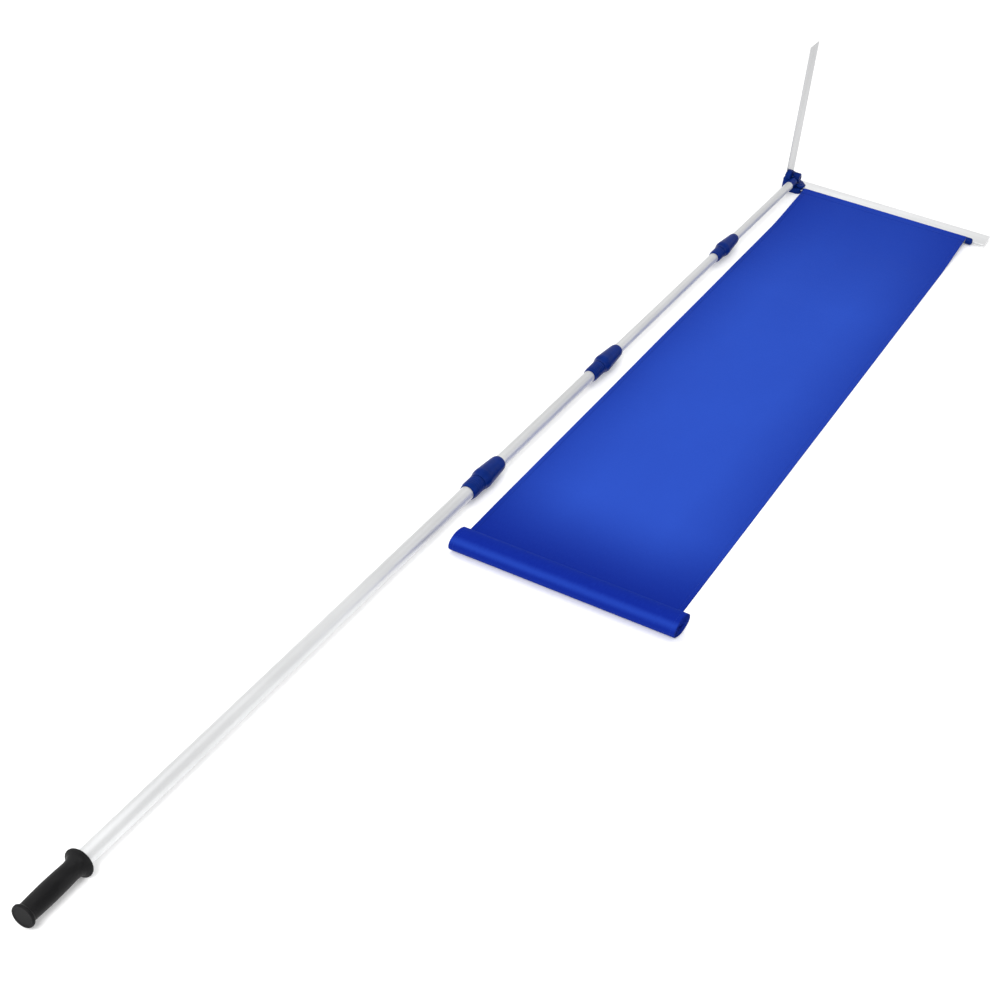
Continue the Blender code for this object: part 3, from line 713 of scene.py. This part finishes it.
def ribbon(name, us, ss, lift, thick):
    """A strip of the cloth between the given places across and along, with its thickness."""
    verts = [cloth_point(u, s, lift) for s in ss for u in us]
    n = len(us)
    faces = [[j * n + i, j * n + i + 1, (j + 1) * n + i + 1, (j + 1) * n + i]
             for j in range(len(ss) - 1) for i in range(n - 1)]
    mesh = bpy.data.meshes.new(name)
    mesh.from_pydata([tuple(v) for v in verts], [], faces)
    weave = mesh.attributes.new("weave", "FLOAT_VECTOR", "POINT")
    for k, item in enumerate(weave.data):
        item.vector = (us[k % n], ss[k // n], 0.0)
    mesh.materials.append(CLOTH)
    mesh.shade_smooth()
    ob = add(name, mesh)
    mod = ob.modifiers.new("cloth", "SOLIDIFY")
    mod.thickness, mod.offset, mod.use_even_offset = thick, 0.0, True
    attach(ob, "rake_head")
    return ob


def between(a, b, count):
    """Evenly spaced values from a to b."""
    return [a + (b - a) * k / (count - 1) for k in range(count)]


across = sorted(set([0.0, 0.004, HEM, 0.026] + between(0.045, SHEET_W - 0.045, 27)
                    + [SHEET_W - 0.026, SHEET_W - HEM, SHEET_W - 0.004, SHEET_W]))
sheet = ribbon("slide_cloth", across, along, 0.0, CLOTH_T)
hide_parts("slide_sheet", "sheet_roll")

hem_rows = [s for s in along if BAND + 0.004 < s < FLAT_LEN + HEM_IN_ROLL]
for side, edge in (("left", 0.0), ("right", SHEET_W - HEM)):
    places = between(edge + 0.0004, edge + HEM - 0.0004, 5)
    ribbon(f"side_hem_{side}", places, hem_rows, HEM_LIFT, HEM_T)
band_rows = [s for s in along if 0.0008 < s <= BAND]
band_rows += between(band_rows[-1] + 0.002, BAND + 0.012, 6)
ribbon("rod_band", across, band_rows, HEM_LIFT, HEM_T)


def stitch_row(name, places):
    """A row of lockstitches: each is a short spindle of thread between two places, which are
    (across, along, lift) on the cloth."""
    verts, faces = [], []
    for (u0, s0, lift0), (u1, s1, lift1) in places:
        a, b = cloth_point(u0, s0, lift0), cloth_point(u1, s1, lift1)
        run = (b - a).normalized()
        up = (cloth_point((u0 + u1) / 2, (s0 + s1) / 2, lift0 + 0.001 * math.copysign(1, lift0))
              - cloth_point((u0 + u1) / 2, (s0 + s1) / 2, lift0)).normalized()
        side = run.cross(up).normalized()
        base = len(verts)
        verts.append(a)
        for t, size in SPINDLE:
            centre = a.lerp(b, t)
            for k in range(6):
                g = math.pi * k / 3
                verts.append(centre + side * math.cos(g) * size + up * math.sin(g) * size)
        verts.append(b)
        for k in range(6):
            m = (k + 1) % 6
            faces.append([base, base + 1 + k, base + 1 + m])
            for ring in (0, 6):
                faces.append([base + 1 + ring + k, base + 7 + ring + k, base + 7 + ring + m,
                              base + 1 + ring + m])
            faces.append([base + 19, base + 13 + m, base + 13 + k])
    return solid(name, verts, faces, THREAD, "rake_head")


def stitches(start, end, place):
    """The two ends of each stitch of a row between start and end; place(t) is on the cloth."""
    return [(place(start + k * STITCH), place(start + k * STITCH + STITCH * STITCH_SHARE))
            for k in range(int((end - start) / STITCH))]


def down(u, start, end, lift):
    """A row along the sheet."""
    return stitches(start, end, lambda s: (u, s, lift))


def over(s, lift):
    """A row across the sheet."""
    return stitches(STITCH_MARGIN, SHEET_W - STITCH_MARGIN, lambda u: (u, s, lift))


for side, u in (("left", HEM - 0.0025), ("right", SHEET_W - HEM + 0.0025)):
    runs = down(u, BAND + 0.016, FLAT_LEN - 0.01, STITCH_LIFT)
    runs += down(u, FLAT_LEN + 0.012, FLAT_LEN + 0.185, -TOP - 0.0001)
    stitch_row(f"hem_stitches_{side}", runs)
runs = over(BAND + 0.0085, STITCH_LIFT) + over(BAND + 0.0035, STITCH_LIFT)
stitch_row("band_stitches", runs)

# ---------------------------------------------------------------- floor, light and camera
ground = bpy.data.meshes.new("studio_ground")
bm = bmesh.new()
bmesh.ops.create_grid(bm, x_segments=8, y_segments=8, size=FLOOR_HALF)
bm.to_mesh(ground)
bm.free()
ground.materials.append(FLOOR)
floor = add("studio_ground", ground)
floor.location = (*FLOOR_MIDDLE, cad_low.z - FLOOR_DROP)
floor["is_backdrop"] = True

world = bpy.data.worlds.new("studio")
world.use_nodes = True
background = world.node_tree.nodes["Background"]
background.inputs["Color"].default_value = WHITE
background.inputs["Strength"].default_value = WORLD_LIGHT
bpy.context.scene.world = world


def softbox(name, at, aim, size, power):
    """An area light at one place, aimed at another, of a width and height and a power in
    watts."""
    data = bpy.data.lights.new(name, "AREA")
    data.shape, data.size, data.size_y = "RECTANGLE", *size
    data.energy = power
    ob = add(name, data)
    ob.location = at
    ob.rotation_euler = (Vector(aim) - Vector(at)).to_track_quat("-Z", "Y").to_euler()
    return ob


softbox("overhead", (-0.9, -1.9, 4.6), (0.1, -1.9, 0.0), (3.6, 5.0), 55.0)
softbox("front", (0.9, -7.4, 4.9), (0.2, -1.9, 0.0), (2.2, 1.6), 240.0)
softbox("left", (-3.6, -2.6, 2.4), (0.2, -2.0, 0.0), (2.4, 3.0), 20.0)
softbox("back", (-0.9, 2.6, 2.7), (0.35, -1.5, 0.0), (2.2, 1.6), 7.0)
glint = softbox("glint", (2.6, 1.7, 1.82), (0.0, 1.7, 0.03), (6.5, 1.1), 16.0)
glint.visible_diffuse = False      # seen in reflections only

camera = bpy.data.cameras.new("camera")
camera.lens, camera.sensor_width = LENS, SENSOR
camera.dof.use_dof = False
eye = add("camera", camera)
turned = Matrix((CAMERA_RIGHT, CAMERA_UP, CAMERA_RIGHT.cross(CAMERA_UP))).transposed()
eye.matrix_world = Matrix.Translation(CAMERA_AT) @ turned.to_4x4()
bpy.context.scene.camera = eye
bpy.context.scene.view_settings.view_transform = "Standard"

low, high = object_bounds()
